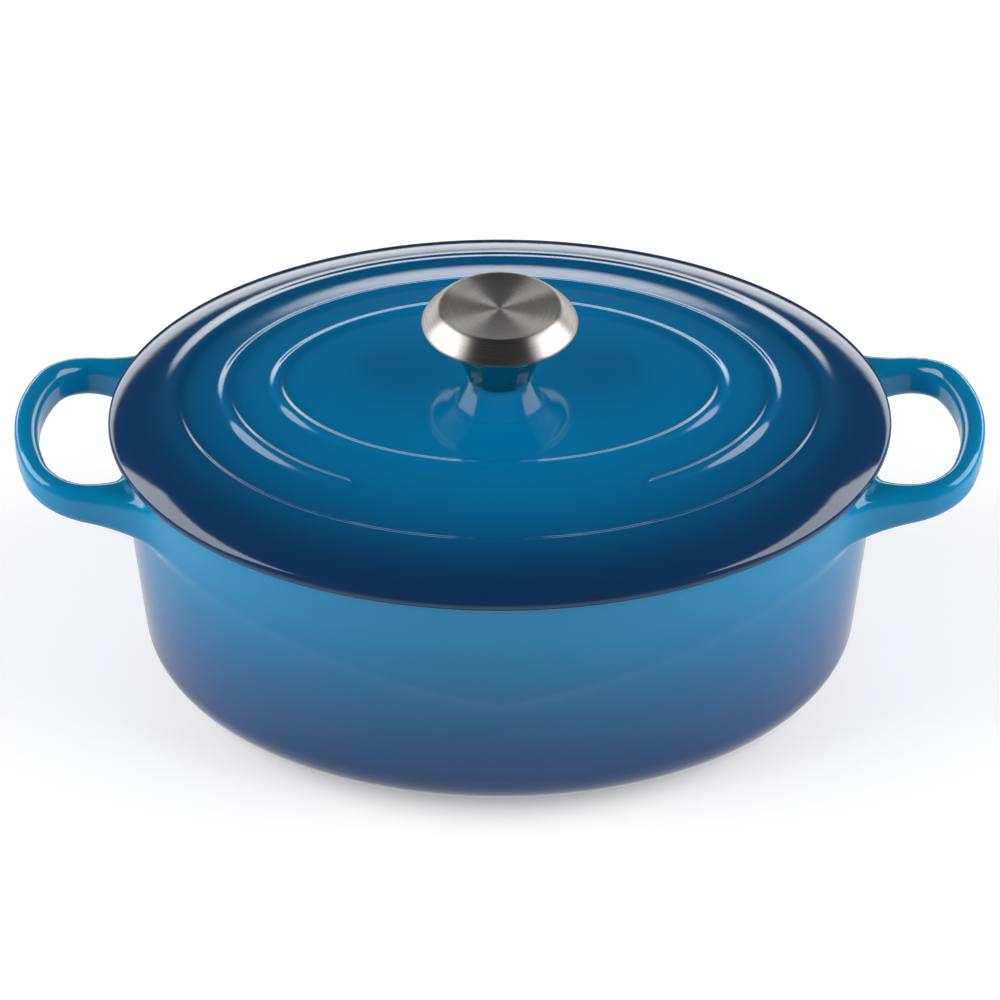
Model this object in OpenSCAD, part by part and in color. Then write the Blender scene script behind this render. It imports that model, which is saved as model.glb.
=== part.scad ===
// Oval dutch oven of enamelled cast iron: a deep pot with two loop handles,
// a domed lid with three raised rings, and a steel knob held by one screw.
// Millimetres. The origin is under the pot's centre, +X runs along the handles, +Z is up.

/* [Lid outline] */
// Length of the lid, along X
lid_length = 296; // [284:1:310]
// Width of the lid, along Y
lid_width = 234.8; // [228:0.2:244]

/* [Pot] */
// Height of the pot, from the ground to the rim that the lid rests on
pot_height = 107.4; // [96:0.2:120]
// How far the lid overhangs the pot's wall at the rim
lid_overhang = 2.9; // [1.5:0.1:4]
// How far the wall leans in between the rim and the base's round
wall_lean = 6.8; // [4:0.1:10]
// Thickness of the cast wall
wall = 3.7; // [3.4:0.1:5]
// Thickness of the cast floor
floor_thickness = 4.4; // [4:0.1:6]
// Outer radius of the round between the wall and the base
base_radius = 19.6; // [16:0.2:22]
// Depth of the shallow recess inside the foot
foot_recess = 0.8; // [0.4:0.1:1.2]
// Distance from the wall's foot to the recess, measured inward
foot_width = 8; // [4:0.5:12]
// Thickness of the enamel coats that have their own colour
coat = 0.4; // [0.2:0.1:0.6]

/* [Handles] */
// Distance from the pot's centre to the middle of the bar at the loop's tip
loop_reach = 179; // [176:0.5:182]
// Height of the bar's middle halfway between the pot's wall and the tip
handle_height = 96.5; // [92:0.1:98]
// Angle at which the loops rise outward
handle_rise = 12.3; // [0:0.1:14]
// Width of the handle bar, seen from above
bar_width = 9; // [8:0.2:10]
// Depth of the handle bar, top to bottom
bar_depth = 14.2; // [12:0.2:16]
// Radius of the loop's outer stretch, along the bar's middle
tip_radius = 86; // [80:1:92]
// Radius of the loop's corners, along the bar's middle
corner_radius = 24; // [20:1:27]
// Height of the level top that the arms have beside the wall
web_top = 105; // [100:0.2:106]
// Depth of the webs that widen each arm towards the wall
web_depth = 15; // [8:0.5:16]

/* [Lid] */
// Height of the lid's vertical edge
edge_height = 3; // [2.5:0.1:5]
// Thickness of the lid casting at its centre
lid_thickness = 3.9; // [3.6:0.1:5]
// Height of the lid above the rim, just inside the inner ring
crown_height = 16.9; // [15:0.1:19]
// Height of the dome that carries the knob above that
dome_height = 4; // [2:0.1:5]
// Distance of each raised ring from the lid's edge
ring_inset = [25.7, 45, 64.4];
// Height of each ring's crest above the rim
ring_height = [12.3, 15.8, 18.4];
// Radius of the rings' round crests
ring_radius = 2.4; // [2:0.1:3]
// Half the angle of the plain stretch at the front of the middle ring
ring_gap = 26.3; // [22:0.1:32]
// Gap between the lid's locating lip and the inside of the pot
lip_gap = 2.4; // [1:0.1:4]
// Thickness of the locating lip
lip_width = 4; // [3:0.1:5]
// Depth of the locating lip below the rim
lip_depth = 6; // [4:0.5:8]
// Radius of the screw's clearance hole through the lid
screw_hole_r = 3.4; // [3.3:0.1:3.8]

/* [Knob] */
// Radius of the knob's disc
disc_r = 29.2; // [27:0.1:32]
// Radius of the brushed circle on the disc
brushed_r = 22.2; // [20:0.1:24]
// Radius of the neck where it stands on the lid
neck_foot_r = 12.2; // [11:0.1:13]
// Radius of the neck where the plate flares out of it
neck_top_r = 17.2; // [15:0.1:19]
// Height of the knob, from the lid to its top
knob_height = 30.7; // [28:0.1:34]
// Thickness of the knob's pressed cap
cap_thickness = 1.2; // [0.8:0.1:1.6]
// Outer radius of the threaded bush inside the neck
bush_r = 5.5; // [5:0.1:6]
// Radius of the screw's shank
screw_r = 3; // [2.9:0.1:3.1]
// Running clearance between the screw and the bush
thread_clearance = 0.05; // [0.02:0.01:0.1]

/* [Hidden] */
$fn = 96;
eps = 0.01;

// The oval: end arcs about (+-end_x, 0) and side arcs about (0, +-side_y), which meet
// on the long side of a 3-4-5 triangle
centres = (lid_length - lid_width) / 0.8;
end_x = 0.6 * centres;
side_y = 0.8 * centres;
end_radius = lid_length / 2 - end_x;
side_radius = end_radius + centres;
span = 400;

// Pot levels and insets, measured from the lid's outline
rim_z = pot_height;
cast_rim_z = rim_z - coat;
inner_inset = lid_overhang + wall;
inner_base_r = base_radius - wall;
// Sections reach this far in from the outline, and flat ovals fill the rest
reach = 60;
plate_inset = 50;
recess_inset = lid_overhang + wall_lean + base_radius + foot_width;

// The loop's corners meet its outer stretch on the long side of a 7-24-25 triangle
handle_x = 150;
tip_x = loop_reach - tip_radius;
corner_x = tip_x + 0.96 * (tip_radius - corner_radius);
corner_y = 0.28 * (tip_radius - corner_radius);
arm_offset = corner_y + corner_radius;
// The finger hole has round corners beside the wall
hole_corner_r = 12;
hole_x = 156;
hole_y = arm_offset - hole_corner_r - bar_width / 2;
flare_x = 120;
flare_y = 58;
// The arms are cut off along this inset, in the middle of the pot's wall
arm_inset = lid_overhang + wall - coat;
cut_height = 40;

// Lid levels
seat_z = rim_z + coat;
lip_inset = inner_inset + coat + lip_gap;
lip_inner = lip_inset + lip_width;
lip_z = rim_z - lip_depth;
crown_z = rim_z + crown_height;
crown_inset = 72;
dome_r = 46;
dome_flat_r = 15;
boss_z = crown_z + dome_height;
// The round pad under the lid that the washer bears on
pad_r = 12;
pad_depth = 3.4;
pad_z = crown_z - lid_thickness - pad_depth;
// Bare strip between the lid's edge and the coat under its rim
rim_strip = 0.6;
// Upper surface of the lid as [inset, height], without its rings
lid_top = [
    [0, rim_z + edge_height],
    [0.9, rim_z + edge_height + 1],
    [4, rim_z + 6.1],
    [8.5, rim_z + 8],
    [14, rim_z + 9.5],
    [20, rim_z + 10.4],
    [26, rim_z + 10.9],
    [45, rim_z + 14.3],
    [64.4, rim_z + 16.8],
    [67, crown_z],
    [crown_inset, crown_z]
];
// Underside of the lid as [inset, height], from the lip to the crown
lid_under = [
    [lip_inner, lip_z],
    [lip_inner + 1, rim_z + 2.2],
    [lip_inner + 5, rim_z + 5],
    [28, rim_z + 7.4],
    [46, rim_z + 10.6],
    [65, rim_z + 12.9],
    [67, crown_z - lid_thickness],
    [crown_inset, crown_z - lid_thickness]
];

// Knob levels
knob_z = boss_z;
knob_top_z = knob_z + knob_height;
skirt_height = 7.2;
disc_z = knob_top_z - skirt_height;
neck_height = 13.7;
neck_top_z = knob_z + neck_height;
bush_height = 16;
cavity_height = 19;
// How far the middle of the disc is dished
disc_dish = 0.3;

// Screw and washer, which hang under the pad
washer_t = 1.2;
washer_r = 7;
washer_hole_r = screw_r + 0.2;
washer_z = pad_z - washer_t;
head_h = 3.4;
head_r = 5.8;
head_edge = 1.8;
head_slope = 1.6;
screw_reach = 13;
screw_top_z = knob_z + screw_reach;
slot_width = 1.3;
slot_length = 6.4;
slot_depth = 1.8;

// Outline of the lid, inset by a distance
module oval(inset) {
    for (side = [-1, 1])
        translate([side * end_x, 0])
            circle(end_radius - inset);
    intersection() {
        translate([0, -side_y])
            circle(side_radius - inset);
        translate([0, side_y])
            circle(side_radius - inset);
        square([2 * end_x * (side_radius - inset) / centres, lid_width], center = true);
    }
}

// Part of a ring about (x, y) that has its children as its section, between two directions
module sector(x, y, radius, from, to) {
    translate([x, y, 0])
        intersection() {
            rotate_extrude()
                translate([radius, 0])
                    children();
            translate([0, 0, -span])
                linear_extrude(2 * span)
                    polygon([[0, 0], span * from, span * to]);
        }
}

// Sweeps a section around the oval; the section's x is minus the inset, its y the height.
// A front gap leaves out that angle either side of the front.
module sweep_oval(front_gap = 0) {
    for (half = [0, 1])
        rotate([0, 0, 180 * half])
            sector(end_x, 0, end_radius, [0.6, -0.8], [0.6, 0.8])
                children();
    sector(0, -side_y, side_radius, [0.6, 0.8], [-0.6, 0.8])
        children();
    if (front_gap == 0)
        sector(0, side_y, side_radius, [-0.6, -0.8], [0.6, -0.8])
            children();
    else
        for (side = [-1, 1])
            sector(0, side_y, side_radius, [side * 0.6, -0.8],
                   [side * sin(front_gap), -cos(front_gap)])
                children();
}

// Section of a basin: floor at base, round of radius r, wall leaning out to the top
module basin(inset, base, r, top) {
    foot = inset + wall_lean;
    polygon(concat(
        [[-reach, base]],
        [for (turn = [0 : 10 : 90]) [-foot - r + r * sin(turn), base + r - r * cos(turn)]],
        [[-inset - wall_lean * (rim_z - top) / (rim_z - base - r), top], [-reach, top]]
    ));
}

// Cross-section of the handle bar
module bar_section() {
    square([bar_width, bar_depth - bar_width], center = true);
    for (side = [-1, 1])
        translate([0, side * (bar_depth - bar_width) / 2])
            circle(bar_width / 2);
}

// Webs that widen the arms towards the wall, seen from above
module web_plan() {
    difference() {
        polygon([
            [flare_x, -flare_y],
            [corner_x, -arm_offset],
            [corner_x, arm_offset],
            [flare_x, flare_y]
        ]);
        translate([flare_x, -hole_y])
            square([corner_x - flare_x + 1, 2 * hole_y]);
        for (side = [-1, 1])
            translate([hole_x, side * hole_y])
                circle(hole_corner_r);
    }
}

// Loop of one handle, with its middle in the plane z = 0
module loop() {
    sector(tip_x, 0, tip_radius, [0.96, -0.28], [0.96, 0.28])
        bar_section();
    for (side = [-1, 1]) {
        sector(corner_x, side * corner_y, corner_radius, [0.96, side * 0.28], [0, side])
            bar_section();
        translate([flare_x, side * arm_offset, 0])
            rotate([90, 0, 90])
                linear_extrude(corner_x - flare_x)
                    bar_section();
    }
}

// One handle on the +X side, cut off inside the pot's wall
module handle() {
    difference() {
        union() {
            translate([handle_x, 0, handle_height])
                rotate([0, -handle_rise, 0])
                    translate([-handle_x, 0, 0])
                        loop();
            translate([0, 0, web_top - web_depth])
                linear_extrude(web_depth)
                    web_plan();
        }
        translate([0, 0, handle_height - cut_height])
            linear_extrude(2 * cut_height)
                oval(arm_inset);
    }
}

module pot_casting() {
    color("steelblue") {
        sweep_oval()
            difference() {
                basin(lid_overhang, 0, base_radius, cast_rim_z);
                basin(inner_inset, floor_thickness, inner_base_r, rim_z);
                translate([-reach - eps, -eps])
                    square([reach - recess_inset, foot_recess + eps]);
            }
        translate([0, 0, foot_recess])
            linear_extrude(floor_thickness - foot_recess)
                oval(plate_inset);
        for (half = [0, 1])
            rotate([0, 0, 180 * half])
                handle();
    }
}

module pot_lining() {
    color("wheat") {
        sweep_oval()
            difference() {
                basin(inner_inset, floor_thickness, inner_base_r, cast_rim_z);
                basin(inner_inset + coat, floor_thickness + coat, inner_base_r - coat, rim_z);
            }
        translate([0, 0, floor_thickness])
            linear_extrude(coat)
                oval(plate_inset);
    }
}

module pot_rim_coat() {
    color("dimgray")
        sweep_oval()
            translate([-inner_inset - coat, cast_rim_z])
                square([wall + coat, coat]);
}

module lid_casting() {
    color("royalblue")
        difference() {
            union() {
                sweep_oval() {
                    polygon(concat(
                        [for (p = lid_top) [-p[0], p[1]]],
                        [for (i = [len(lid_under) - 1 : -1 : 0])
                            [-lid_under[i][0], lid_under[i][1]]],
                        [[-lip_inset, lip_z], [-lip_inset, seat_z], [0, seat_z]]
                    ));
                    for (i = [0, 2])
                        translate([-ring_inset[i], rim_z + ring_height[i] - ring_radius])
                            circle(ring_radius);
                }
                sweep_oval(ring_gap)
                    translate([-ring_inset[1], rim_z + ring_height[1] - ring_radius])
                        circle(ring_radius);
                translate([0, 0, crown_z - lid_thickness])
                    linear_extrude(lid_thickness)
                        oval(crown_inset - 2);
                translate([0, 0, crown_z - eps])
                    cylinder(h = boss_z - crown_z + eps, r1 = dome_r, r2 = dome_flat_r);
                translate([0, 0, pad_z])
                    cylinder(h = crown_z - pad_z - 1, r = pad_r);
            }
            translate([0, 0, pad_z - 1])
                cylinder(h = boss_z - pad_z + 2, r = screw_hole_r);
        }
}

module lid_lining() {
    color("wheat") {
        sweep_oval()
            polygon(concat(
                [for (p = lid_under) [-p[0], p[1]]],
                [for (i = [len(lid_under) - 1 : -1 : 1])
                    [-lid_under[i][0] - coat, lid_under[i][1] - coat]],
                [[-lip_inner - coat, lip_z]]
            ));
        difference() {
            translate([0, 0, crown_z - lid_thickness - coat])
                linear_extrude(coat)
                    oval(crown_inset);
            translate([0, 0, pad_z])
                cylinder(h = lid_thickness, r = pad_r);
        }
    }
}

module lid_rim_coat() {
    color("dimgray")
        sweep_oval()
            translate([-lip_inset, rim_z])
                square([lip_inset - rim_strip, coat]);
}

module knob_cap() {
    color("gainsboro")
        rotate_extrude()
            difference() {
                polygon([
                    [0, disc_z],
                    [disc_r, disc_z],
                    [disc_r, disc_z + 0.9],
                    [disc_r - 0.7, disc_z + 2.2],
                    [brushed_r + 0.6, knob_top_z - 0.5],
                    [brushed_r, knob_top_z],
                    [0, knob_top_z - disc_dish]
                ]);
                polygon([
                    [0, disc_z - 1],
                    [disc_r - cap_thickness, disc_z - 1],
                    [disc_r - cap_thickness, disc_z + 0.9],
                    [brushed_r, knob_top_z - cap_thickness - 0.6],
                    [0, knob_top_z - cap_thickness - 0.6]
                ]);
            }
}

module knob_body() {
    color("silver")
        rotate_extrude()
            polygon([
                [bush_r, knob_z],
                [neck_foot_r, knob_z],
                [neck_top_r, neck_top_z],
                [neck_top_r + 2.8, neck_top_z + 1.9],
                [disc_r - 5.2, disc_z - 4.6],
                [disc_r - 1.6, disc_z - 1.2],
                [disc_r - 1.2, disc_z],
                [0, disc_z],
                [0, knob_z + cavity_height],
                [bush_r, knob_z + cavity_height]
            ]);
}

module knob_bush() {
    color("darkgoldenrod")
        difference() {
            translate([0, 0, knob_z])
                cylinder(h = bush_height, r = bush_r);
            translate([0, 0, knob_z - 1])
                cylinder(h = bush_height + 2, r = screw_r + thread_clearance);
        }
}

module knob_screw() {
    color("silver")
        difference() {
            union() {
                translate([0, 0, washer_z - eps])
                    cylinder(h = screw_top_z - washer_z + eps, r = screw_r);
                translate([0, 0, washer_z - head_edge])
                    cylinder(h = head_edge, r = head_r);
                translate([0, 0, washer_z - head_h])
                    cylinder(h = head_h - head_edge, r1 = head_r - head_slope, r2 = head_r);
            }
            for (turn = [0, 90])
                rotate([0, 0, turn])
                    translate([-slot_length / 2, -slot_width / 2, washer_z - head_h - 1])
                        cube([slot_length, slot_width, slot_depth + 1]);
        }
}

module screw_washer() {
    color("lightgray")
        difference() {
            translate([0, 0, washer_z])
                cylinder(h = washer_t, r = washer_r);
            translate([0, 0, washer_z - 1])
                cylinder(h = washer_t + 2, r = washer_hole_r);
        }
}

pot_casting();
pot_lining();
pot_rim_coat();
lid_casting();
lid_lining();
lid_rim_coat();
knob_cap();
knob_body();
knob_bush();
knob_screw();
screw_washer();
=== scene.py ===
"""Looks of the oval enamelled dutch oven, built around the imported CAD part, in metres."""

import bpy
import numpy as np
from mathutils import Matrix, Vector


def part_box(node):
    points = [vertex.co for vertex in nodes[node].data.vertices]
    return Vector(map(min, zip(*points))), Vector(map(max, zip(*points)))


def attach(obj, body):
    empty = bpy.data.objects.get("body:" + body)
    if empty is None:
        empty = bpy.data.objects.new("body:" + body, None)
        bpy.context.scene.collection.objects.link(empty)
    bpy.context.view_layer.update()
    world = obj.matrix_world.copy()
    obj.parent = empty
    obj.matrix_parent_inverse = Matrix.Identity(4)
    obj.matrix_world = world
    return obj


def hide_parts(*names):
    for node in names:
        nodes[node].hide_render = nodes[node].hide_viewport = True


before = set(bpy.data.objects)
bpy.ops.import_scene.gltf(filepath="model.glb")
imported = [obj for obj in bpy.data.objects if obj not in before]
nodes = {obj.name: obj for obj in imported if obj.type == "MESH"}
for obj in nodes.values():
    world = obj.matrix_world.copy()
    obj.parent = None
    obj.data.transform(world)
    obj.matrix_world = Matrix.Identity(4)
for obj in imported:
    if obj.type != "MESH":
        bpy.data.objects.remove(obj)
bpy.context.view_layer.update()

# ---------------------------------------------------------------- sizes, in metres
MM = 0.001
lid_lo, lid_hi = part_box("lid_casting")
rim_lo, rim_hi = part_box("pot_rim_coat")
seat_lo, seat_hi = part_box("lid_rim_coat")
lining_lo, lining_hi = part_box("pot_lining")
cap_lo, cap_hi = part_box("knob_cap")
body_lo, body_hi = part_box("knob_body")
washer_lo, washer_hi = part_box("screw_washer")

HALF_LENGTH = lid_hi[0]
HALF_WIDTH = lid_hi[1]
RIM_Z = rim_hi[2]
COAT = rim_hi[2] - rim_lo[2]
OVERHANG = HALF_WIDTH - rim_hi[1]
WALL_LEAN = 6.8 * MM
FOOT_WIDTH = 8 * MM
RECESS = 0.8 * MM
BASE_RADIUS = 19.6 * MM
LINING_INSET = HALF_WIDTH - lining_hi[1]
WALL = LINING_INSET - OVERHANG
INNER_RADIUS = BASE_RADIUS - WALL
RIM_INNER = LINING_INSET + COAT
SEAT_INSET = 0.6 * MM
FLOOR_REACH = 78 * MM
FLOOR_Z = lining_lo[2]
KNOB_Z = body_lo[2]

# The loop handles rise outward; their middle is HANDLE_Z high where x is HANDLE_X
HANDLE_TIP = 183.6 * MM
HANDLE_X = 150 * MM
HANDLE_Z = 96.6 * MM
HANDLE_RISE = 0.219
BAR_HALF_WIDTH = 4.45 * MM
BAR_HALF_DEPTH = 7.1 * MM
ARM_Y = 40.95 * MM
TIP_RADIUS = 73.7 * MM
CORNER_RADIUS = 21.2 * MM
BAR_ROUND = 4.0 * MM
ROOT_FLARE = 0.45
ROOT_DEPTH = 4.2 * MM
ROOT_LENGTH = 40 * MM
ROOT_FILLET = 34 * MM
# The arms' tops are level at ROOT_TOP beside the wall
ROOT_TOP = 105.1 * MM
TOP_FILLET = 4 * MM
WALL_FILLET = 6 * MM
# Nothing but the handles reaches further out than this
POT_REACH = 147 * MM


# ---------------------------------------------------------------- mesh helpers
def make_piece(name, points, faces, material):
    """A mesh object from points in metres and faces as lists of point numbers."""
    mesh = bpy.data.meshes.new(name)
    mesh.from_pydata([tuple(p) for p in points], [], [tuple(f) for f in faces])
    mesh.validate()
    mesh.update()
    mesh.shade_smooth()
    piece = bpy.data.objects.new(name, mesh)
    bpy.context.scene.collection.objects.link(piece)
    mesh.materials.append(material)
    return piece


def smooth_path(points, step):
    """A cubic B-spline through the neighbourhood of the points, resampled every step."""
    p = np.array([points[0]] * 2 + list(points) + [points[-1]] * 2, float)
    u = np.linspace(0, 1, 24, endpoint=False)[:, None]
    weights = [(1 - u) ** 3, 3 * u**3 - 6 * u**2 + 4, -3 * u**3 + 3 * u**2 + 3 * u + 1, u**3]
    spans = [
        sum(w * p[i + k] for k, w in enumerate(weights)) / 6 for i in range(len(p) - 3)
    ]
    path = np.vstack(spans + [p[-1:]])
    length = np.concatenate([[0], np.cumsum(np.linalg.norm(np.diff(path, axis=0), axis=1))])
    count = max(2, int(length[-1] / step) + 1)
    at = np.linspace(0, length[-1], count)
    return np.stack([np.interp(at, length, path[:, k]) for k in range(path.shape[1])], 1)


def oval(turn, inset):
    """Points of the lid's outline, moved inward by inset along its normal."""
    x, y = HALF_LENGTH * np.cos(turn), HALF_WIDTH * np.sin(turn)
    nx, ny = np.cos(turn) / HALF_LENGTH, np.sin(turn) / HALF_WIDTH
    size = np.hypot(nx, ny)
    return np.stack([x - inset * nx / size, y - inset * ny / size], -1)


def oval_row(turn, inset, z):
    """A row of points round the inset oval at the height z."""
    xy = oval(turn, inset)
    return np.column_stack([xy, np.broadcast_to(z, turn.shape)])


def blend_row(turn, inset, radius, share, z):
    """A row between the inset oval and a circle: share 0 is the oval, 1 the circle."""
    xy = oval(turn, inset)
    angle = np.arctan2(xy[:, 1], xy[:, 0])
    ring = radius * np.stack([np.cos(angle), np.sin(angle)], -1)
    return np.column_stack([(1 - share) * xy + share * ring, np.full(len(turn), z)])


def grid_faces(rows, columns, close_rows=False):
    """Quads over rows that each close on themselves."""
    faces = []
    for r in range(rows if close_rows else rows - 1):
        a, b = r * columns, ((r + 1) % rows) * columns
        for c in range(columns):
            d = (c + 1) % columns
            faces.append((a + c, a + d, b + d, b + c))
    return faces


def ring_piece(name, rows, material):
    """A closed piece whose rows go once round its section."""
    faces = grid_faces(len(rows), len(rows[0]), close_rows=True)
    return make_piece(name, np.concatenate(rows), faces, material)


def bowl_piece(name, rows, material):
    """A closed piece whose first and last rows each close in a point at their middle."""
    count, columns = len(rows), len(rows[0])
    faces = grid_faces(count, columns)
    first, last = count * columns, count * columns + 1
    start = (count - 1) * columns
    for c in range(columns):
        d = (c + 1) % columns
        faces.append((first, d, c))
        faces.append((last, start + c, start + d))
    middles = [rows[0].mean(0), rows[-1].mean(0)]
    return make_piece(name, np.concatenate(rows + [np.array(middles)]), faces, material)


def lathe(name, profile, material, columns=192):
    """A piece of revolution about Z from a closed profile of (radius, height)."""
    turn = np.linspace(0, 2 * np.pi, columns, endpoint=False)
    rows = [
        np.column_stack([r * np.cos(turn), r * np.sin(turn), np.full(columns, z)])
        for r, z in profile
    ]
    return ring_piece(name, rows, material)


# ---------------------------------------------------------------- pot: an implicit surface
def oval_distance(x, y):
    """Signed distance from the lid's outline, seen from above: negative inside."""
    a, b = HALF_LENGTH, HALF_WIDTH
    px, py = np.abs(x), np.abs(y)
    t = np.arctan2(a * py, b * px)
    for _ in range(6):
        c, s = np.cos(t), np.sin(t)
        f = (b * b - a * a) * c * s + a * px * s - b * py * c
        slope = (b * b - a * a) * (c * c - s * s) + a * px * c + b * py * s
        t = np.clip(t - f / np.where(np.abs(slope) < 1e-9, 1e-9, slope), 0, np.pi / 2)
    ex, ey = a * np.cos(t), b * np.sin(t)
    distance = np.hypot(px - ex, py - ey)
    return np.where((px / a) ** 2 + (py / b) ** 2 < 1, -distance, distance)


def smooth_union(a, b, reach):
    """The lower of two distances, with a fillet of even curvature that grows with reach."""
    mix = np.clip(reach - np.abs(a - b), 0, None) / reach
    return np.minimum(a, b) - mix**3 * reach / 6


def round_corner(a, b, radius):
    """Intersection of two distances with a rounded edge."""
    u, v = a + radius, b + radius
    return np.minimum(np.maximum(u, v), 0) + np.hypot(np.maximum(u, 0), np.maximum(v, 0)) - radius


LEAN = np.arctan2(WALL_LEAN, RIM_Z - BASE_RADIUS)
FOOT_INSET = OVERHANG + WALL_LEAN + BASE_RADIUS + FOOT_WIDTH
RECESS_SLOPE = 3 * MM


def pot_distance(q, z):
    """Distance from the outside of the pot without its handles."""
    wall = (q + OVERHANG) * np.cos(LEAN) - (z - RIM_Z) * np.sin(LEAN)
    inside = np.clip((-q - FOOT_INSET) / RECESS_SLOPE, 0, 1)
    ground = RECESS * inside * inside * (3 - 2 * inside) - z
    return round_corner(wall, ground, BASE_RADIUS)


def handle_distance(x, y, z, q):
    """Distance from one loop handle and the roots that widen it towards the wall."""
    px, py = np.abs(x), np.abs(y)
    sine = (ARM_Y - CORNER_RADIUS) / (TIP_RADIUS - CORNER_RADIUS)
    cosine = np.sqrt(1 - sine**2)
    tip_x = HANDLE_TIP - BAR_HALF_WIDTH - TIP_RADIUS
    corner_x = tip_x + cosine * (TIP_RADIUS - CORNER_RADIUS)
    corner_y = ARM_Y - CORNER_RADIUS
    tip = np.abs(np.hypot(px - tip_x, py) - TIP_RADIUS)
    corner = np.abs(np.hypot(px - corner_x, py - corner_y) - CORNER_RADIUS)
    flare = ROOT_FLARE * np.clip(corner_x - px, 0, ROOT_LENGTH) ** 1.5
    arm = np.abs(py - ARM_Y) - np.where(py > ARM_Y, flare, 0)
    on_arm = (px < corner_x) & (py > corner_y - CORNER_RADIUS)
    on_tip = py * cosine < (px - tip_x) * sine
    bar = np.where(on_arm, arm, np.where(on_tip, tip, corner)) - BAR_HALF_WIDTH
    wall = q + OVERHANG
    plan = smooth_union(bar, wall + ROOT_DEPTH, ROOT_FILLET)
    middle = HANDLE_Z + HANDLE_RISE * (px - HANDLE_X)
    under = middle - BAR_HALF_DEPTH - z
    over = smooth_union(z - middle - BAR_HALF_DEPTH, z - ROOT_TOP, TOP_FILLET)
    return round_corner(plan, np.maximum(under, over), BAR_ROUND)


def outside(p):
    """Distance from the outside of the pot casting at points p."""
    x, y, z = p[..., 0], p[..., 1], p[..., 2]
    q = oval_distance(x, y)
    return smooth_union(pot_distance(q, z), handle_distance(x, y, z, q), WALL_FILLET)


def gradient(p, step=0.02 * MM):
    """Slope of that distance at points p."""
    parts = []
    for k in range(3):
        shift = np.zeros(3)
        shift[k] = step
        parts.append((outside(p + shift) - outside(p - shift)) / (2 * step))
    return np.stack(parts, -1)


def surface_net(values, corner, cell):
    """Vertices and quads of the zero surface of a grid of distances (surface nets)."""
    shape = np.array(values.shape) - 1
    sign = values < 0
    edge_sum = np.zeros((*shape, 3))
    edge_count = np.zeros(shape, int)
    ranges = [slice(0, -1), slice(1, None)]
    for axis in range(3):
        others = [k for k in range(3) if k != axis]
        for u in (0, 1):
            for v in (0, 1):
                low, high = [None] * 3, [None] * 3
                low[axis], high[axis] = ranges
                low[others[0]] = high[others[0]] = ranges[u]
                low[others[1]] = high[others[1]] = ranges[v]
                a, b = values[tuple(low)], values[tuple(high)]
                crossing = sign[tuple(low)] != sign[tuple(high)]
                t = np.where(crossing, a / np.where(crossing, a - b, 1), 0)
                edge_count += crossing
                edge_sum[..., axis] += t
                edge_sum[..., others[0]] += np.where(crossing, u, 0)
                edge_sum[..., others[1]] += np.where(crossing, v, 0)
    active = edge_count > 0
    number = np.full(shape, -1)
    number[active] = np.arange(active.sum())
    index = np.argwhere(active)
    points = corner + cell * (index + edge_sum[active] / edge_count[active][:, None])
    faces = []
    for axis in range(3):
        low, high = [slice(None)] * 3, [slice(None)] * 3
        low[axis], high[axis] = ranges
        crossing = sign[tuple(low)] != sign[tuple(high)]
        at = np.argwhere(crossing)
        inner = np.all((at >= 1) | (np.arange(3) == axis), axis=1)
        others = [(axis + 1) % 3, (axis + 2) % 3]
        inner &= np.all(at[:, others] <= shape[others] - 1, axis=1)
        at = at[inner]
        quad = []
        for u, v in ((0, 0), (1, 0), (1, 1), (0, 1)):
            cell_at = at.copy()
            cell_at[:, others[0]] -= u
            cell_at[:, others[1]] -= v
            quad.append(number[tuple(cell_at.T)])
        quad = np.stack(quad, 1)
        outward = sign[tuple(low)][tuple(at.T)]
        quad = np.where(outward[:, None], quad, quad[:, ::-1])
        faces.append(quad)
    return points, np.concatenate(faces)


def open_edge(faces, count):
    """Numbers of the points along the one open edge of a mesh of quads, in order."""
    pairs = np.concatenate([faces[:, [k, (k + 1) % 4]] for k in range(4)])
    forward = pairs[:, 0] * count + pairs[:, 1]
    backward = pairs[:, 1] * count + pairs[:, 0]
    following = dict(pairs[~np.isin(forward, backward)].tolist())
    start = min(following)
    order = [start]
    while following[order[-1]] != start:
        order.append(following[order[-1]])
    return np.array(order)


def pot_surface(top):
    """The pot casting's outside, open at the height top: points, quads, normals, open edge."""
    cell = 1.5 * MM
    x = np.arange(127) * cell
    y = np.arange(82) * cell
    below = int(np.ceil(top / cell)) + 2
    heights = top + cell * np.arange(-below, 5)
    grid = np.stack(np.meshgrid(x, y, heights, indexing="ij"), -1)
    values = outside(grid)
    pot_part = x < POT_REACH
    values[pot_part, :, below:] = values[pot_part, :, below : below + 1]
    values = np.concatenate([values[:0:-1], values], 0)
    values = np.concatenate([values[:, :0:-1], values], 1)
    points, faces = surface_net(values, np.array([-x[-1], -y[-1], heights[0]]), cell)
    above = (points[:, 2] > top) & (np.abs(points[:, 0]) < POT_REACH)
    faces = faces[~above[faces].any(1)]
    used = np.unique(faces)
    points = points[used]
    faces = np.searchsorted(used, faces)
    order = open_edge(faces, len(points))
    points[order, 2] = top
    for _ in range(5):
        slope = gradient(points)
        slope[order, 2] = 0
        size = (slope**2).sum(1)
        move = np.clip(outside(points) / np.maximum(size, 0.05), -cell / 2, cell / 2)
        points -= slope * move[:, None]
    normals = gradient(points)
    normals /= np.linalg.norm(normals, axis=1)[:, None]
    return points, faces, normals, order


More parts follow.
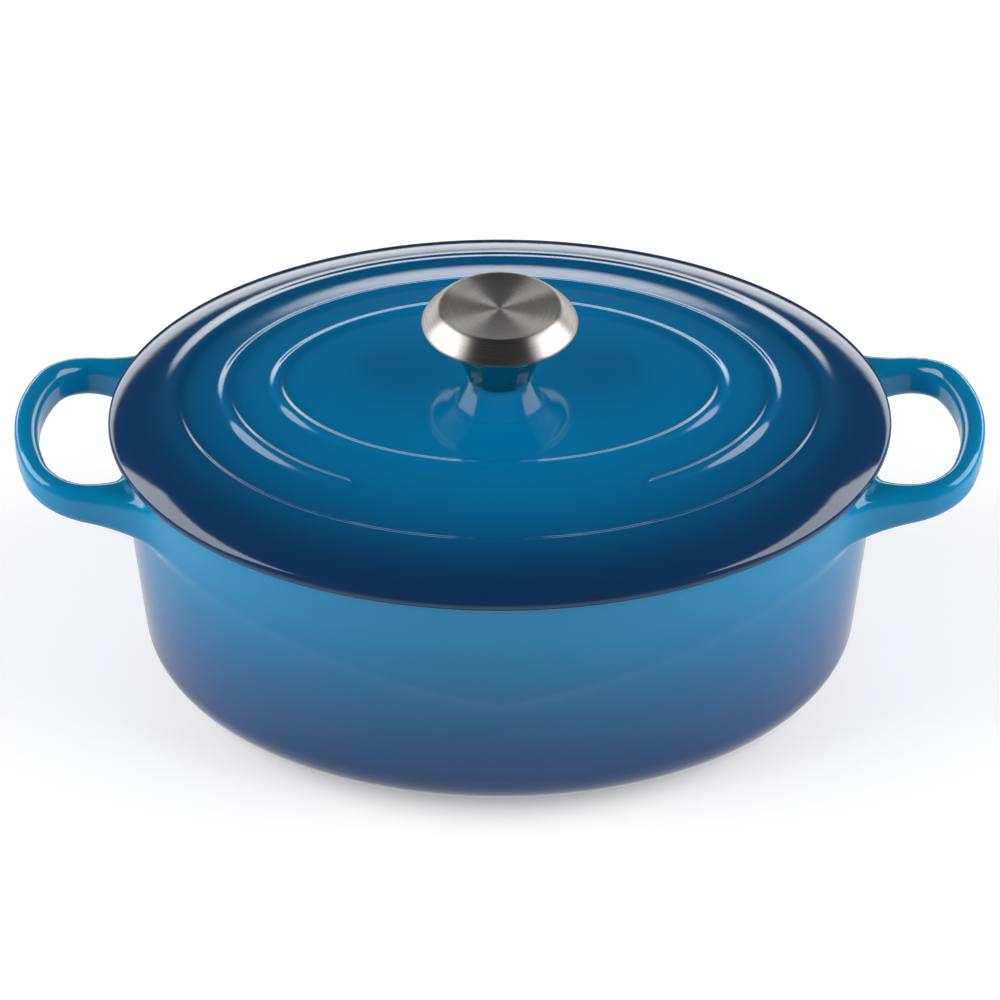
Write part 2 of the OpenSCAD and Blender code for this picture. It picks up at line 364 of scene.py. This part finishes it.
def basin_profile(inset, base, radius, top):
    """Section of a basin from its top edge down the wall and along the floor: (inset, z)."""
    lean = np.arctan2(WALL_LEAN, RIM_Z - base - radius)
    wall_top = inset + (RIM_Z - top) * np.tan(lean)
    centre_z = base + radius
    centre = inset + (radius + (RIM_Z - centre_z) * np.sin(lean)) / np.cos(lean)
    arc = [
        (centre - radius * np.cos(a), centre_z - radius * np.sin(a))
        for a in np.linspace(lean, np.pi / 2, 12)
    ]
    heights = np.linspace(0, 1, 6)[:-1, None]
    wall = (1 - heights) * np.array([wall_top, top]) + heights * np.array(arc[0])
    floor = [(f, base) for f in np.linspace(arc[-1][0], FLOOR_REACH, 5)[1:]]
    return [tuple(w) for w in wall] + arc + floor


def pot_shell(material):
    """The pot casting: its outside with the handles, the rim and the inside under the lining."""
    top = RIM_Z - COAT
    points, faces, normals, order = pot_surface(top)
    turn = np.arctan2(points[order, 1] / HALF_WIDTH, points[order, 0] / HALF_LENGTH)
    inner = basin_profile(LINING_INSET, FLOOR_Z, INNER_RADIUS, top)
    rows = [oval_row(turn, inset, z) for inset, z in inner]
    rows.append(np.array([[0, 0, FLOOR_Z]]))
    count, width = len(points), len(order)
    grid = [order] + [count + k * width + np.arange(width) for k in range(len(inner))]
    quads = [
        np.stack([np.roll(a, -1), a, b, np.roll(b, -1)], 1) for a, b in zip(grid, grid[1:])
    ]
    centre = count + len(inner) * width
    fan = [(int(a), int(centre), int(b)) for a, b in zip(np.roll(grid[-1], -1), grid[-1])]
    every = [tuple(map(int, f)) for f in np.concatenate([faces] + quads)] + fan
    piece = make_piece("pot_enamel_shell", np.concatenate([points] + rows), every, material)
    mesh = piece.data
    loops = np.empty(len(mesh.loops), int)
    mesh.loops.foreach_get("vertex_index", loops)
    sharp_rows(mesh, order, grid[1])
    corner = np.empty(len(mesh.loops) * 3, np.float32)
    mesh.corner_normals.foreach_get("vector", corner)
    corner = corner.reshape(-1, 3).copy()
    outer = np.arange(len(loops)) < len(faces) * 4
    corner[outer] = normals[loops[outer]]
    mesh.normals_split_custom_set([tuple(n) for n in corner])
    return piece


def sharp_rows(mesh, *rows):
    """Marks the edges along each row of points as sharp."""
    on_row = [set(map(int, row)) for row in rows]
    for edge in mesh.edges:
        a, b = edge.vertices
        if any(a in row and b in row for row in on_row):
            edge.use_edge_sharp = True
    mesh.update()


def pot_lining(material):
    """The pale enamel that lines the inside of the pot, as a thin closed bowl."""
    turn = np.linspace(0, 2 * np.pi, 384, endpoint=False)
    top = RIM_Z - COAT
    back = basin_profile(LINING_INSET, FLOOR_Z, INNER_RADIUS, top)
    face = basin_profile(LINING_INSET + COAT, FLOOR_Z + COAT, INNER_RADIUS - COAT, top)
    rows = [oval_row(turn, inset, z) for inset, z in back[::-1] + face]
    return bowl_piece("pot_sand_lining", rows, material)


def rim_ring(name, outer, inner, low, high, material):
    """A flat ring of rim enamel between two insets, with softly rounded edges."""
    turn = np.linspace(0, 2 * np.pi, 384, endpoint=False)
    soft = (high - low) * 0.35
    section = [
        (outer, low + soft),
        (outer + soft * 0.3, high - soft * 0.6),
        (outer + soft, high),
        (inner - soft, high),
        (inner, high - soft),
        (inner, low + soft),
        (inner - soft, low),
        (outer + soft, low),
    ]
    return ring_piece(name, [oval_row(turn, inset, z) for inset, z in section], material)


# ---------------------------------------------------------------- lid
RING_INSETS = np.array([25.7, 45.0, 64.4]) * MM
BEAD_HEIGHT = 1.4 * MM
BEAD_OUT = 4.2 * MM
OUTER_BEAD_OUT = 8.5 * MM
BEAD_IN = 3.4 * MM
GAP_HALF = 56 * MM
LIP_OUT = 9.4 * MM
BORE = 3.4 * MM
CENTRE_INSET = 72 * MM
BOSS_RADIUS = 12.6 * MM
DOME_INSET = 68.5 * MM
DOME_FOOT = 17.1 * MM
DOME_FLAT = 0.26


def bead(distance, outward=BEAD_OUT):
    """Height of a raised ring at a distance inward from its crest."""
    reach = np.where(distance < 0, outward, BEAD_IN)
    inside = np.abs(distance) < reach
    return np.where(inside, BEAD_HEIGHT * np.cos(np.pi / 2 * distance / reach) ** 2, 0)


def ring_heights(turn, inset):
    """Height that the three raised rings add, the middle one plain at the front."""
    xy = oval(turn, inset)
    total = bead(inset - RING_INSETS[0], OUTER_BEAD_OUT) + bead(inset - RING_INSETS[2])
    across = inset - RING_INSETS[1]
    tangent = np.stack([-HALF_LENGTH * np.sin(turn), HALF_WIDTH * np.cos(turn)], -1)
    along = np.abs(tangent[:, 0]) / np.linalg.norm(tangent, axis=1)
    past_end = np.clip((GAP_HALF - np.abs(xy[:, 0])) / np.maximum(along, 0.3), 0, None)
    past_end = np.where(xy[:, 1] < 0, past_end, 0)
    side = -1 if across < 0 else 1
    return total + bead(side * np.hypot(across, past_end))


def ease(value, low, high):
    """0 below low, 1 above high and a smooth step between them."""
    share = np.clip((value - low) / (high - low), 0, 1)
    return share * share * (3 - 2 * share)


def dome(x, y):
    """Height of the shallow dome inside the inner ring, flat where the knob stands on it."""
    across = HALF_LENGTH - DOME_INSET, HALF_WIDTH - DOME_INSET
    out = np.hypot(x / across[0], y / across[1])
    out = np.clip((out - DOME_FLAT) / (1 - DOME_FLAT), 0, None)
    return KNOB_Z - (KNOB_Z - RIM_Z - DOME_FOOT) * out**1.4


def lid_rows(turn):
    """Rows over the lid's upper surface, from its edge to the bore."""
    rim = RIM_Z / MM
    low = rim + 0.4
    guide = [(0.9, low), (0.15, low + 0.25), (0, low + 1), (0, rim + 2.2), (0.05, rim + 3)]
    guide += [(0.5, rim + 3.8), (1.6, rim + 4.7), (4, rim + 6.1), (8.5, rim + 7.9)]
    guide += [(14, rim + 9.4), (20, rim + 10.35), (25.7, rim + 10.95), (31, rim + 11.6)]
    guide += [(38, rim + 13.1), (45, rim + 14.4), (52, rim + 15.4), (59, rim + 16.3)]
    guide += [(64.4, rim + 16.9), (69, rim + 17.2), (74, rim + 17.4), (79, rim + 17.5)]
    path = smooth_path(np.array(guide) * MM, 0.6 * MM)
    rows = []
    for inset, base in path[path[:, 0] < CENTRE_INSET]:
        row = oval_row(turn, inset, base)
        share = ease(inset, DOME_INSET - 5 * MM, CENTRE_INSET)
        row[:, 2] += share * (dome(row[:, 0], row[:, 1]) - base)
        row[:, 2] += ring_heights(turn, inset)
        rows.append(row)
    for share in np.linspace(0, 1, 25)[1:]:
        row = blend_row(turn, CENTRE_INSET, BOSS_RADIUS, share, 0)
        row[:, 2] = dome(row[:, 0], row[:, 1])
        rows.append(row)
    for radius in (10 * MM, 7 * MM, 5 * MM, 3.9 * MM):
        rows.append(blend_row(turn, CENTRE_INSET, radius, 1, KNOB_Z))
    rows.append(blend_row(turn, CENTRE_INSET, BORE, 1, KNOB_Z - 0.4 * MM))
    return rows


def under_rows(turn, lift):
    """Rows over the lid's underside from the bore to the lip; lift moves them into the iron."""
    rim, pad = RIM_Z, washer_hi[2]
    rows = [
        blend_row(turn, CENTRE_INSET, radius * MM, 1, pad + drop * MM + lift)
        for radius, drop in ((3.4, 0.3), (3.8, 0), (6, 0), (9, 0), (10.6, 0.2), (11.6, 0.9))
    ]
    rows += [
        blend_row(turn, CENTRE_INSET, radius * MM, 1, pad + drop * MM + lift)
        for radius, drop in ((12.4, 1.9), (13.6, 2.7), (16, 3.0))
    ]
    for share in (0.75, 0.5, 0.25, 0):
        rows.append(blend_row(turn, CENTRE_INSET, 18 * MM, share, pad + 3 * MM + lift))
    guide = [(76, 12.6), (70, 12.6), (64, 12.4), (55, 11.5), (46, 10.2), (37, 8.7), (28, 7.0)]
    guide += [(22, 5.6), (18, 4.2), (15.4, 2.0), (14.2, -0.8), (13.7, -3.2), (13.5, -4.8)]
    guide += [(12.9, -5.8), (11.4, -6.1), (10.0, -5.8), (9.5, -4.8), (9.4, -3)]
    guide += [(9.4, -1.2), (9.4, 0.4)]
    path = smooth_path(np.array(guide), 1.2) * MM
    path = path[path[:, 0] < CENTRE_INSET]
    slope = np.gradient(path, axis=0)
    slope /= np.linalg.norm(slope, axis=1)[:, None]
    path = path + lift * np.stack([-slope[:, 1], slope[:, 0]], 1) * -1
    return rows + [oval_row(turn, inset, rim + z) for inset, z in path]


def lid_shell(material):
    """The lid casting as one closed shell: top, edge, seat, lip, underside and bore."""
    turn = np.linspace(0, 2 * np.pi, 400, endpoint=False)
    rows = lid_rows(turn) + under_rows(turn, COAT)
    return ring_piece("lid_enamel_shell", rows, material)


def lid_lining(material):
    """The pale enamel under the lid, as a thin closed shell with a hole for the screw."""
    turn = np.linspace(0, 2 * np.pi, 384, endpoint=False)
    rows = under_rows(turn, 0) + under_rows(turn, COAT)[::-1]
    return ring_piece("lid_sand_lining", rows, material)


# ---------------------------------------------------------------- knob
def knob_cap(material):
    """The pressed cap: a circle turned on a lathe, a soft raised edge and a round skirt."""
    top, low = cap_hi[2] / MM, cap_lo[2] / MM
    guide = [(0, top - 1.0), (5, top - 0.95), (10, top - 0.8), (15, top - 0.55), (19.5, top - 0.2)]
    guide += [(21.2, top - 0.02), (22.1, top + 0.06), (22.9, top - 0.1), (23.8, top - 0.75)]
    guide += [(25.4, top - 2.2), (27.2, top - 4.0), (28.6, top - 5.7), (29.2, top - 6.7)]
    guide += [(29.25, top - 7.3), (28.9, top - 7.75), (28.3, top - 7.8), (27.9, top - 7.4)]
    guide += [(27.6, top - 6.0), (26.2, top - 4.6), (23.8, top - 2.6), (22, top - 1.8)]
    guide += [(15, top - 1.8), (8, top - 1.8), (0, top - 1.8)]
    path = smooth_path(np.array(guide), 0.35) * MM
    return disc_piece("knob_cap_brushed", path, material)


def disc_piece(name, path, material, columns=240):
    """A piece of revolution whose profile starts and ends on the axis."""
    turn = np.linspace(0, 2 * np.pi, columns, endpoint=False)
    rows = [
        np.column_stack([r * np.cos(turn), r * np.sin(turn), np.full(columns, z)])
        for r, z in path
        if r > 0.05 * MM
    ]
    return bowl_piece(name, rows, material)


def knob_neck(material):
    """The polished cone of the neck and the dished plate that flares out under the cap."""
    foot, plate = body_lo[2] / MM, body_hi[2] / MM
    guide = [(5.4, foot + 12), (5.4, foot + 6), (5.4, foot + 0.2), (6.0, foot), (9, foot)]
    guide += [(11.6, foot), (12.15, foot + 0.2), (12.35, foot + 0.8), (13.0, foot + 2.6)]
    guide += [(14.1, foot + 5.6), (15.2, foot + 8.6), (16.2, foot + 11.4), (16.9, foot + 13.2)]
    guide += [(17.25, foot + 13.7), (17.6, foot + 13.85), (19, foot + 14.7), (22, plate - 6.2)]
    guide += [(25, plate - 4.0), (27.2, plate - 2.2), (28.0, plate - 1.2), (28.1, plate - 0.3)]
    guide += [(27.6, plate), (22, plate), (14, plate), (8, plate), (5.9, plate - 0.4)]
    guide += [(5.4, plate - 2), (5.4, foot + 15)]
    path = smooth_path(np.array(guide), 0.3) * MM
    return lathe("knob_neck_polished", path, material, columns=200)


# ---------------------------------------------------------------- materials
class Paint:
    """A material under construction: short calls that add and join shader nodes."""

    def __init__(self, name):
        self.material = bpy.data.materials.new(name)
        self.material.use_nodes = True
        self.tree = self.material.node_tree
        self.shader = self.tree.nodes["Principled BSDF"]
        self.place = self.node("ShaderNodeTexCoord").outputs["Object"]

    def node(self, kind, **settings):
        made = self.tree.nodes.new(kind)
        for key, value in settings.items():
            setattr(made, key, value)
        return made

    def feed(self, socket, value):
        """Links a socket to another one, or sets its number or colour."""
        if isinstance(value, bpy.types.NodeSocket):
            self.tree.links.new(value, socket)
        else:
            socket.default_value = value

    def maths(self, operation, a, b=0.0, c=0.0):
        made = self.node("ShaderNodeMath", operation=operation)
        for socket, value in zip(made.inputs, (a, b, c)):
            self.feed(socket, value)
        return made.outputs[0]

    def axes(self):
        split = self.node("ShaderNodeSeparateXYZ")
        self.feed(split.inputs[0], self.place)
        return split.outputs

    def noise(self, scale, detail=2.0, roughness=0.5, place=None):
        made = self.node("ShaderNodeTexNoise")
        self.feed(made.inputs["Vector"], place or self.place)
        made.inputs["Scale"].default_value = scale
        made.inputs["Detail"].default_value = detail
        made.inputs["Roughness"].default_value = roughness
        return made.outputs["Fac"]

    def spread(self, value, low, high, to_low, to_high):
        made = self.node("ShaderNodeMapRange")
        for socket, v in zip(made.inputs[:5], (value, low, high, to_low, to_high)):
            self.feed(socket, v)
        return made.outputs[0]

    def ramp(self, value, stops):
        """Colours along a value, from stops of (position, colour as 0 to 255)."""
        made = self.node("ShaderNodeValToRGB")
        self.feed(made.inputs[0], value)
        ramp = made.color_ramp
        ramp.interpolation = "B_SPLINE"
        while len(ramp.elements) < len(stops):
            ramp.elements.new(0.5)
        for element, (at, colour) in zip(ramp.elements, stops):
            element.position = at
            element.color = (*linear(colour), 1)
        return made.outputs[0]

    def mix(self, share, a, b):
        made = self.node("ShaderNodeMix", data_type="RGBA")
        self.feed(made.inputs["Factor"], share)
        self.feed(made.inputs["A"], a)
        self.feed(made.inputs["B"], b)
        return made.outputs["Result"]

    def bump(self, height, distance, strength=1.0, under=None):
        made = self.node("ShaderNodeBump")
        made.inputs["Strength"].default_value = strength
        made.inputs["Distance"].default_value = distance
        self.feed(made.inputs["Height"], height)
        if under:
            self.feed(made.inputs["Normal"], under)
        return made.outputs[0]


def linear(colour):
    """Linear light of a colour given as 0 to 255 on a screen."""
    c = np.array(colour, float) / 255
    return tuple(np.where(c <= 0.04045, c / 12.92, ((c + 0.055) / 1.055) ** 2.4))


def enamel_finish(paint, colour, gloss=0.09):
    """Fired glass over the colour: orange peel, a few pits and a slightly uneven gloss."""
    peel = paint.noise(180, 3)
    grain = paint.noise(1400, 2)
    rough = paint.spread(paint.noise(60, 3), 0.3, 0.7, gloss * 0.85, gloss * 1.25)
    relief = paint.bump(peel, 0.00006, 0.5)
    relief = paint.bump(grain, 0.00001, 0.4, under=relief)
    paint.feed(paint.shader.inputs["Base Color"], colour)
    paint.feed(paint.shader.inputs["Roughness"], rough)
    paint.feed(paint.shader.inputs["Normal"], relief)
    paint.shader.inputs["IOR"].default_value = 1.5
    return paint.material


def lid_enamel():
    """Blue enamel that was sprayed darker towards the lid's edge."""
    paint = Paint("lid_blue_enamel")
    x, y, _ = paint.axes()
    across = paint.maths("POWER", paint.maths("DIVIDE", x, HALF_LENGTH), 2)
    along = paint.maths("POWER", paint.maths("DIVIDE", y, HALF_WIDTH), 2)
    out = paint.maths("SQRT", paint.maths("ADD", across, along))
    spray = paint.maths("MULTIPLY_ADD", paint.noise(1100, 3, 0.7), 0.05, -0.025)
    drift = paint.maths("MULTIPLY_ADD", paint.noise(14, 2), 0.06, -0.03)
    at = paint.maths("ADD", paint.maths("ADD", out, spray), drift)
    stops = [(0.0, (0, 118, 170)), (0.45, (0, 110, 160)), (0.62, (0, 100, 148))]
    stops += [(0.78, (3, 78, 122)), (0.88, (8, 56, 96)), (0.94, (10, 50, 88)), (1.0, (13, 48, 84))]
    return enamel_finish(paint, paint.ramp(at, stops))


def pot_enamel():
    """Blue enamel that was sprayed darker towards the base, with painted shade that darkens it
    further near the base.
    """
    paint = Paint("pot_blue_enamel_with_painted_shade")
    _, _, z = paint.axes()
    spray = paint.maths("MULTIPLY_ADD", paint.noise(1100, 3, 0.7), 0.05, -0.025)
    drift = paint.maths("MULTIPLY_ADD", paint.noise(12, 2), 0.08, -0.04)
    level = paint.maths("DIVIDE", z, float(RIM_Z))
    at = paint.maths("ADD", paint.maths("ADD", level, spray), drift)
    # Darker towards the base: partly the real sprayed colour, partly painted shade near the floor.
    stops = [(0.0, (4, 40, 80)), (0.25, (4, 62, 110)), (0.5, (2, 84, 134))]
    stops += [(0.75, (0, 110, 156)), (0.9, (0, 120, 166)), (1.0, (0, 122, 168))]
    return enamel_finish(paint, paint.ramp(at, stops))


def sand_enamel():
    """Pale glossy enamel with the faint specks of the iron's ground coat."""
    paint = Paint("sand_enamel")
    specks = paint.spread(paint.noise(900, 2, 0.6), 0.66, 0.72, 0, 1)
    cloud = paint.ramp(paint.noise(9, 3), [(0.3, (226, 214, 190)), (0.7, (235, 225, 204))])
    colour = paint.mix(paint.maths("MULTIPLY", specks, 0.25), cloud, (0.4, 0.33, 0.24, 1))
    return enamel_finish(paint, colour, gloss=0.13)


def rim_enamel():
    """Thin matt ground coat on the rims, grey-black with a fine grain."""
    paint = Paint("rim_ground_coat")
    grain = paint.noise(1600, 3, 0.7)
    colour = paint.ramp(grain, [(0.25, (24, 25, 27)), (0.6, (38, 39, 42)), (0.85, (58, 59, 60))])
    paint.feed(paint.shader.inputs["Base Color"], colour)
    paint.feed(paint.shader.inputs["Roughness"], paint.spread(grain, 0.2, 0.8, 0.42, 0.62))
    paint.feed(paint.shader.inputs["Normal"], paint.bump(grain, 0.00004, 0.6))
    return paint.material


def steel(name, rough, tint=(168, 163, 158)):
    """Stainless steel with faint wiping marks."""
    paint = Paint(name)
    haze = paint.noise(300, 4, 0.6)
    paint.feed(paint.shader.inputs["Base Color"], (*linear(tint), 1))
    paint.shader.inputs["Metallic"].default_value = 1.0
    paint.feed(paint.shader.inputs["Roughness"], paint.spread(haze, 0.3, 0.7, rough, rough * 1.6))
    paint.feed(paint.shader.inputs["Normal"], paint.bump(haze, 0.000004, 0.5))
    return paint.material


def turned_steel():
    """Stainless steel turned on a lathe: fine rings round the axis that stretch highlights."""
    paint = Paint("turned_steel")
    x, y, _ = paint.axes()
    squares = paint.maths("ADD", paint.maths("POWER", x, 2), paint.maths("POWER", y, 2))
    radius = paint.maths("SQRT", squares)
    angle = paint.maths("ARCTAN2", y, x)
    join = paint.node("ShaderNodeCombineXYZ")
    paint.feed(join.inputs[0], paint.maths("MULTIPLY", radius, 5200))
    paint.feed(join.inputs[1], paint.maths("MULTIPLY", angle, 1.5))
    lines = paint.noise(1.0, 3, 0.7, place=join.outputs[0])
    stops = [(0.25, (142, 138, 134)), (0.5, (176, 171, 167)), (0.8, (205, 200, 196))]
    colour = paint.ramp(lines, stops)
    paint.feed(paint.shader.inputs["Base Color"], colour)
    paint.shader.inputs["Metallic"].default_value = 1.0
    paint.shader.inputs["Anisotropic"].default_value = 0.9
    paint.shader.inputs["Anisotropic Rotation"].default_value = 0.25
    tangent = paint.node("ShaderNodeTangent", direction_type="RADIAL", axis="Z")
    paint.feed(paint.shader.inputs["Tangent"], tangent.outputs[0])
    paint.feed(paint.shader.inputs["Roughness"], paint.spread(lines, 0.2, 0.8, 0.33, 0.44))
    paint.feed(paint.shader.inputs["Normal"], paint.bump(lines, 0.00002, 0.35))
    return paint.material


def floor_white():
    """Plain white with the faintest unevenness and a glow that keeps it white."""
    paint = Paint("floor_white")
    haze = paint.ramp(paint.noise(3, 2), [(0.3, (238, 238, 238)), (0.7, (242, 242, 242))])
    paint.feed(paint.shader.inputs["Base Color"], haze)
    paint.shader.inputs["Roughness"].default_value = 0.6
    paint.shader.inputs["Emission Color"].default_value = (1, 1, 1, 1)
    paint.shader.inputs["Emission Strength"].default_value = FLOOR_GLOW
    return paint.material


# ---------------------------------------------------------------- the object
def place(piece, body, slot, *replaced):
    """Rides a piece on its body and hides the CAD nodes that it stands for."""
    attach(piece, body)
    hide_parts(*replaced)


sand = sand_enamel()
rim_coat = rim_enamel()
place(pot_shell(pot_enamel()), "pot", "pot_enamel", "pot_casting")
place(pot_lining(sand), "pot", "sand_enamel", "pot_lining")
pot_rim = rim_ring("pot_rim_ground_coat", OVERHANG, RIM_INNER, rim_lo[2], rim_hi[2], rim_coat)
place(pot_rim, "pot", "rim_enamel", "pot_rim_coat")
place(lid_shell(lid_enamel()), "lid", "lid_enamel", "lid_casting")
place(lid_lining(sand), "lid", "sand_enamel", "lid_lining")
lid_rim = rim_ring("lid_rim_ground_coat", SEAT_INSET, LIP_OUT, seat_lo[2], seat_hi[2], rim_coat)
place(lid_rim, "lid", "rim_enamel", "lid_rim_coat")
place(knob_cap(turned_steel()), "knob", "brushed_cap", "knob_cap")
place(knob_neck(steel("polished_steel", 0.05)), "knob", "polished_neck", "knob_body")
for name, finish in (
    ("knob_bush", steel("bush_steel", 0.3)),
    ("knob_screw", steel("screw_steel", 0.22)),
    ("screw_washer", steel("washer_steel", 0.25)),
):
    nodes[name].data.materials.clear()
    nodes[name].data.materials.append(finish)


# ---------------------------------------------------------------- floor, light and camera
HORIZON_LIGHT = 0.25
CEILING_LIGHT = 0.05
BACKDROP_LIGHT = 3.2
FLOOR_GLOW = 0.3
FLOOR_LIGHT = 0.75
LAMP_DISTANCE = 1.6
LAMP_WIDTH = 1.6
CAMERA_LENS = 149.89
CAMERA_ELEVATION = 37.051
CAMERA_DISTANCE = 1600 * MM
CAMERA_TARGET = (0.08 * MM, 0, 68.761 * MM)


def floor():
    """A plain floor that is lit but not mirrored."""
    mesh = bpy.data.meshes.new("floor")
    half = 4.0
    corners = [(-half, -half, 0), (half, -half, 0), (half, half, 0), (-half, half, 0)]
    mesh.from_pydata(corners, [], [(0, 1, 2, 3)])
    plane = bpy.data.objects.new("floor", mesh)
    bpy.context.scene.collection.objects.link(plane)
    mesh.materials.append(floor_white())
    plane.visible_glossy = False


def softbox(name, azimuth, elevation, height, power):
    """An oblong lamp that faces the pot; azimuth is measured from the front, to the right."""
    data = bpy.data.lights.new(name, "AREA")
    data.shape = "RECTANGLE"
    data.size = LAMP_WIDTH
    data.size_y = height
    data.energy = power
    lamp = bpy.data.objects.new(name, data)
    bpy.context.scene.collection.objects.link(lamp)
    a, e = np.radians(azimuth), np.radians(elevation)
    away = Vector((np.sin(a) * np.cos(e), -np.cos(a) * np.cos(e), np.sin(e)))
    target = Vector((0, 0, RIM_Z))
    lamp.location = target + away * LAMP_DISTANCE
    lamp.rotation_euler = away.to_track_quat("Z", "Y").to_euler()
    return lamp


def lamps():
    """On each side, one lamp that is seen mirrored and one that gives soft light."""
    for side, name in ((-1, "left"), (1, "right")):
        mirrored = softbox(name + "_box", side * 92, 30, height=1.2, power=31)
        mirrored.visible_diffuse = False
        soft = softbox(name + "_light", side * 82, 24, height=1.6, power=34)
        soft.visible_glossy = False


def studio_world():
    """A pale horizon, a bright low backdrop behind, a dim ceiling and light from below."""
    world = bpy.data.worlds.new("studio")
    world.use_nodes = True
    bpy.context.scene.world = world
    tree = world.node_tree
    ground = tree.nodes["Background"]
    ground.inputs[0].default_value = (1, 1, 1, 1)
    split = tree.nodes.new("ShaderNodeSeparateXYZ")
    coordinates = tree.nodes.new("ShaderNodeTexCoord")
    tree.links.new(coordinates.outputs["Generated"], split.inputs[0])

    def step(value, start, end, low, high):
        made = tree.nodes.new("ShaderNodeMapRange")
        made.interpolation_type = "SMOOTHSTEP"
        tree.links.new(value, made.inputs[0])
        for socket, number in zip(made.inputs[1:5], (start, end, low, high)):
            socket.default_value = number
        return made.outputs[0]

    def maths(operation, a, b):
        made = tree.nodes.new("ShaderNodeMath")
        made.operation = operation
        tree.links.new(a, made.inputs[0])
        tree.links.new(b, made.inputs[1])
        return made.outputs[0]

    horizon = step(split.outputs[2], 0.06, 0.16, HORIZON_LIGHT, CEILING_LIGHT)
    height = step(split.outputs[2], 0.2, 0.3, BACKDROP_LIGHT, 0.0)
    behind = step(split.outputs[1], 0.2, 0.7, 0.0, 1.0)
    backdrop = maths("MULTIPLY", height, behind)
    above = step(split.outputs[2], -0.06, 0.02, 0.0, 1.0)
    sky = maths("MULTIPLY", maths("ADD", horizon, backdrop), above)
    below = step(split.outputs[2], -0.6, -0.15, FLOOR_LIGHT, 0.0)
    tree.links.new(maths("ADD", sky, below), ground.inputs[1])


def camera():
    """The viewpoint: above the horizon, straight in front, with a long lens."""
    data = bpy.data.cameras.new("camera")
    data.lens = CAMERA_LENS
    data.sensor_width = 36
    data.clip_end = 100
    view = bpy.data.objects.new("camera", data)
    bpy.context.scene.collection.objects.link(view)
    elevation = np.radians(CAMERA_ELEVATION)
    back = Vector((0, -np.cos(elevation), np.sin(elevation)))
    view.location = Vector(CAMERA_TARGET) + back * CAMERA_DISTANCE
    view.rotation_euler = back.to_track_quat("Z", "Y").to_euler()
    bpy.context.scene.camera = view


floor()
lamps()
studio_world()
camera()
bpy.context.scene.view_settings.view_transform = "Standard"
